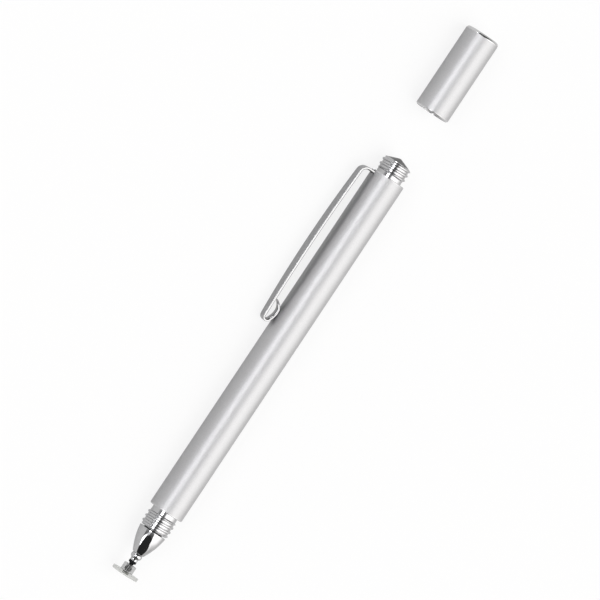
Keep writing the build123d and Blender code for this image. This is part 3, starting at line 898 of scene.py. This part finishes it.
# Rear plug: turned and chrome plated, with a plain neck, the cap's thread and a shallow cone at its end.
# Its tail passes through the clip's ring and screws into the rear bush, which clamps the ring.
plug_low, plug_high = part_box("rear_plug")
plug_tail_radius = 2.5 * mm
plug_neck_front = clip_ring_low.x - seat_gap
plug_thread_front = barrel_rear - 0.9 * mm
plug_thread_back = plug_thread_front - 3.34 * mm
cone_tip_radius = 0.25 * mm
cone_tip_edge = 0.12 * mm
cone_fade = 0.15 * mm
cone_shade = 0.26
plug_blank = turned(rounded([
    (plug_thread_back, root_radius, 0),
    (plug_low.x, cone_tip_radius, cone_tip_edge),
    (plug_low.x, 0, 0),
]), segments=thread_segments)
add_shape(plug_blank, turned(rounded([
    (plug_high.x, 0, 0),
    (plug_high.x, plug_tail_radius, tail_edge),
    (plug_neck_front, plug_tail_radius, fine_edge),
    (plug_neck_front, neck_radius, fine_edge),
    (plug_thread_front, neck_radius, 0),
    (plug_thread_front, root_radius, 0),
]), segments=thread_segments))
plug_chrome = bright_chrome("plug_chrome", dull_and_shade=(plug_thread_back, plug_thread_back - cone_fade, cone_shade))
plug_thread = thread_sizes(plug_thread_back, plug_thread_front, plug_thread_back, plug_chrome)
plug = threaded("threaded_plug", plug_blank, plug_thread)
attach(plug, "pen")
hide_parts("rear_plug")

# Cap: a drawn aluminium cup with a rounded end and the female thread inside its mouth, blasted and anodised
# like the barrel. Its mouth's bevel is cut after anodising and left bright.
cap_low, cap_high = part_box("cap_shell")
cap_bore = 3.88 * mm
cap_mouth_bevel = 0.36 * mm
cap_mouth_edge = 0.03 * mm
cap_top_radius = 0.8 * mm
cap_floor = cap_low.x + 1.2 * mm
cap_floor_edge = 0.3 * mm
cap_thread_depth = 0.26 * mm
cap_thread_front = cap_high.x - 0.5 * mm
cap_thread_back = cap_thread_front - 3.3 * mm
cap_crest_width = 0.49 * mm
cap_root_width = thread_pitch - cap_crest_width - 2 * cap_thread_depth
cap_satin = satin_aluminium("satin_cap", cap_low.x + cap_top_radius, cap_high.x - cap_mouth_bevel - rim_fade)
cap_blank = turned(rounded([
    (cap_thread_front, cap_bore, 0),
    (cap_high.x, cap_bore, fine_edge),
    (cap_high.x, barrel_radius - cap_mouth_bevel, cap_mouth_edge),
    (cap_high.x - cap_mouth_bevel, barrel_radius, cap_mouth_edge),
    (cap_low.x, barrel_radius, cap_top_radius),
    (cap_low.x, 0, 0),
], steps=10), segments=thread_segments)
add_shape(cap_blank, turned(rounded([
    (cap_floor, 0, 0),
    (cap_floor, cap_bore, cap_floor_edge),
    (cap_thread_back, cap_bore, 0),
]), segments=thread_segments))
# Its crests stand half a pitch from the rear plug's, so the two threads run into each other
cap_thread = thread_sizes(
    cap_thread_back, cap_thread_front, cap_thread_back + thread_pitch / 2, cap_satin,
    cap_bore, -cap_thread_depth, cap_crest_width, cap_root_width,
)
cap = threaded("screw_cap", cap_blank, cap_thread)
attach(cap, "cap")
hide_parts("cap_shell")

# Cap pad: a plug of soft black rubber, cut from rod and pushed into the closed end of the cap.
# It holds by its own spring and keeps the touch disc off the cap's floor.
pad_low, pad_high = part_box("cap_pad")
pad_radius = pad_high.z
pad_front_edge, pad_back_edge = 0.3 * mm, 0.2 * mm
pad = plain_piece("rubber_plug", turned(rounded([
    (pad_high.x, 0, 0),
    (pad_high.x, pad_radius, pad_front_edge),
    (pad_low.x, pad_radius, pad_back_edge),
    (pad_low.x, 0, 0),
]), segments=96))
pad.data.materials.append(rubber)
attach(pad, "cap_pad")
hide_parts("cap_pad")

# Table: a plain pale sheet that the pen lies on, wide enough to fill the picture from any side.
# What the camera sees of it, or the clear plastic lets through, is mostly an even white, and the rest is
# its own lit surface, which keeps the pen's soft shadow. Metal mirrors less of the white.
table_reach = 6.0
sheet_shades = (0.56, 0.56, 0.56, 1), (0.58, 0.58, 0.58, 1)
sheet_seen = (0.92, 0.92, 0.92, 1)
seen_white, mirrored_white = 0.84, 0.36
table_shape = bmesh.new()
bmesh.ops.create_grid(table_shape, x_segments=1, y_segments=1, size=table_reach)
table_shape.transform(Matrix.Translation((0, 0, cad_low.z)))
table = plain_piece("pale_table", table_shape)
pale, pale_place = place_on("pale_sheet")
seen, seen_through, mirrored = [
    pale_place.node("ShaderNodeLightPath", output=ray)
    for ray in ("Is Camera Ray", "Is Transmission Ray", "Is Glossy Ray")
]
sheet_color = seen.mix(pale_place.noise(3.0).mix(*sheet_shades), sheet_seen)
sheet = pale_place.node("ShaderNodeBsdfDiffuse", sockets={"Color": sheet_color})
white = pale_place.node("ShaderNodeEmission", sockets={"Strength": 1.0})
share = (seen_white * seen.most(seen_through)).most(mirrored_white * mirrored)
pale_top = sheet.node("ShaderNodeMixShader", sockets={0: share, 1: sheet, 2: white})
pale_top.node("ShaderNodeOutputMaterial", sockets={"Surface": pale_top})
table.data.materials.append(pale)

# Light: a white studio tent over the table, open in a narrow gap where the camera looks in, and dark
# towards its two ends. Its brightness goes by the angle over the pen, in degrees from the front horizon,
# and by how far a direction leans along the pen, from 0 square to it to 1 straight along it.
wall_levels = (
    (0, 0.5), (8, 0.5), (16, 0.26), (22, 0.26), (27, 1.6), (31, 7.1), (44, 7.1), (66, 1.1), (76, 1.9),
    (88, 2.2), (100, 2.4), (115, 2.1), (130, 1.8), (145, 1.5), (158, 1.05), (180, 0.65),
)
gap_starts = (
    (0, 44), (0.38, 44), (0.43, 24), (0.56, 14), (0.62, 9), (0.67, 5), (0.72, -18), (0.84, -40), (1, -40),
)
gap_ends = (
    (0, 66), (0.2, 66), (0.32, 78), (0.38, 80), (0.43, 87), (0.55, 100), (0.61, 138), (0.7, 148),
    (0.84, 158), (1, 158),
)
gap_blur = 2
gap_levels = ((0, 0.28), (0.28, 0.28), (0.36, 0.16), (0.42, 0.03), (0.86, 0.03), (0.96, 0.4), (1, 0.4))
flap_drops = ((0, 0), (0.34, 0), (0.5, 26), (1, 26))
seam_shades = ((0, 0), (0.2, 0), (0.29, 0.88), (0.39, 0.88), (0.46, 0), (1, 0))
front_tint, back_tint = (0.986, 0.983, 1, 1), (1, 0.988, 0.978, 1)
tint_turn = (48, 92)
tent = bpy.data.worlds.new("studio_tent")
tent.use_nodes = True
tent.node_tree.nodes.clear()
bpy.context.scene.world = tent


def traced(signal, points):
    """The height at a signal of the line through (place, height) points."""
    places, heights = zip(*points)
    first, reach = places[0], places[-1] - places[0]
    low, span = min(heights), max(heights) - min(heights)
    stops = [((place - first) / reach, (height - low) / span) for place, height in points]
    return low + span * signal.node("ShaderNodeValToRGB", {"stops": stops}, {0: (signal - first) / reach})


toward = Signal(tent.node_tree).node("ShaderNodeTexCoord", output="Generated")
along, side, rise = [
    toward.node("ShaderNodeSeparateXYZ", sockets={0: toward}, output=axis) for axis in ("X", "Y", "Z")
]
over = side.maths("ARCTAN2", rise, 0.0 - side) * (180 / pi)
lean = along.maths("ABSOLUTE", along)
gap_start, gap_end = traced(lean, gap_starts), traced(lean, gap_ends)
behind = over.step(gap_start - gap_blur, gap_start + gap_blur)
gap = behind * (1.0 - over.step(gap_end - gap_blur, gap_end + gap_blur))
shade = gap + traced(lean, seam_shades) * (1.0 - behind)
wall = traced(over + traced(lean, flap_drops), wall_levels)
level = wall + shade * (traced(lean, gap_levels) - wall)
tint = over.step(*tint_turn).mix(front_tint, back_tint)
sky = level.node("ShaderNodeBackground", sockets={"Color": tint, "Strength": level})
sky.node("ShaderNodeOutputWorld", sockets={"Surface": sky})

# Camera: a long lens, square to the pen and raised so that the clip is seen from its side. The picture's
# width and its middle are measured at the pen, which leans in it with the cap to the upper right.
camera_rise = radians(50.5)
camera_distance = 1.5
picture_width = 144.4 * mm
picture_center = 78.4 * mm
picture_offset = 1.37 * mm
pen_lean = radians(33.65)
nearest, farthest = 0.05, 50
to_camera = Vector((0, -cos(camera_rise), sin(camera_rise)))
up_pen = Vector((0, sin(camera_rise), cos(camera_rise)))
to_cap = Vector((-1, 0, 0))
right = to_cap * sin(pen_lean) + up_pen * cos(pen_lean)
up = to_cap * cos(pen_lean) - up_pen * sin(pen_lean)
lens = bpy.data.cameras.new("camera")
lens.lens = lens.sensor_width * camera_distance / picture_width
lens.clip_start, lens.clip_end = nearest, farthest
camera = bpy.data.objects.new("camera", lens)
camera.matrix_world = Matrix((right, up, to_camera)).transposed().to_4x4()
camera.location = to_cap * picture_center - up_pen * picture_offset + to_camera * camera_distance
bpy.context.scene.collection.objects.link(camera)
bpy.context.scene.camera = camera
bpy.context.scene.view_settings.view_transform = "Standard"
